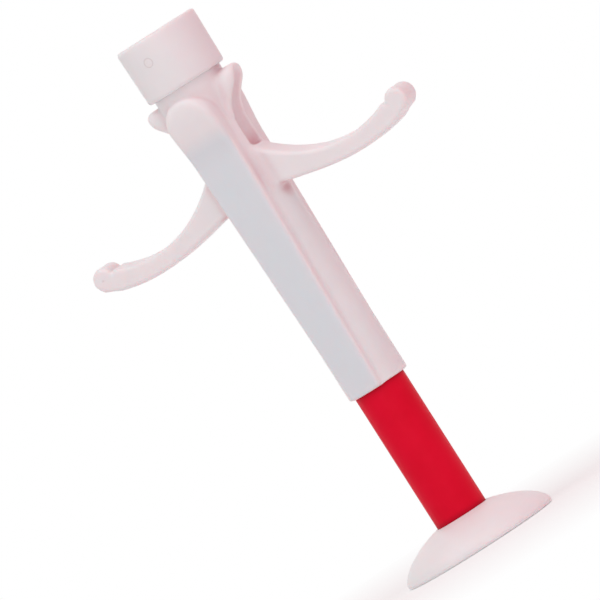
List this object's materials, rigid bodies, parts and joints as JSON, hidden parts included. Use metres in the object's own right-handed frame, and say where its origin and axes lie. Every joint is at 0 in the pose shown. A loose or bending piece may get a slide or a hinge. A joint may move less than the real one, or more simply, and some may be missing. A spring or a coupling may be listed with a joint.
{
  "type": "aspirating dental syringe",
  "caption": "Hand-held cartridge syringe with a round barrel, two curved finger arms, a closed front cap, and a sliding plunger with a domed thumb rest.",
  "frame": {"origin": "centre of the thumb rest's rim plane, the lowest point of the standing syringe", "axes": "+Z along the syringe towards the needle end, X through the two finger arms, the flat pads face -Y and +Y"},
  "size_m": [0.0936, 0.0378, 0.1364],
  "materials": {
    "white_plastic": "smooth satin moulded plastic",
    "red_plastic": "satin moulded plastic",
    "grey_rubber": "matt",
    "amber_rubber": "matt",
    "plated_brass": "turned",
    "steel": "turned",
    "aluminium": "satin",
    "clear_glass": "clear"
  },
  "bodies": {
    "barrel": {"barrel": "white_plastic", "neck_seal_ring": "grey_rubber", "needle_adaptor": "plated_brass", "cartridge_cushion": "grey_rubber", "cartridge_glass": "clear_glass", "cartridge_crimp_cap": "aluminium", "cartridge_diaphragm": "amber_rubber"},
    "cap": {"front_cap": "white_plastic"},
    "stopper": {"cartridge_stopper": "grey_rubber"},
    "plunger": {"harpoon": "steel", "pusher_disc": "steel", "piston_rod": "steel", "rod_guide_bush": "white_plastic", "plunger_sleeve": "red_plastic", "sleeve_stop_ring": "white_plastic", "thumb_rest": "white_plastic", "rod_screw": "steel", "screw_washer": "steel"}
  },
  "joints": [
    {"name": "plunger_slide", "type": "slide", "parent": "barrel", "child": "stopper", "axis": [0, 0, 1], "range_m": [-0.0145, 0.0339]},
    {"name": "plunger_spin", "type": "hinge", "parent": "stopper", "child": "plunger", "pos_m": [0, 0, 0.0768], "axis": [0, 0, 1], "continuous": true},
    {"name": "cap_pull", "type": "slide", "parent": "barrel", "child": "cap", "axis": [0, 0, 1], "range_m": [0, 0.03]}
  ]
}
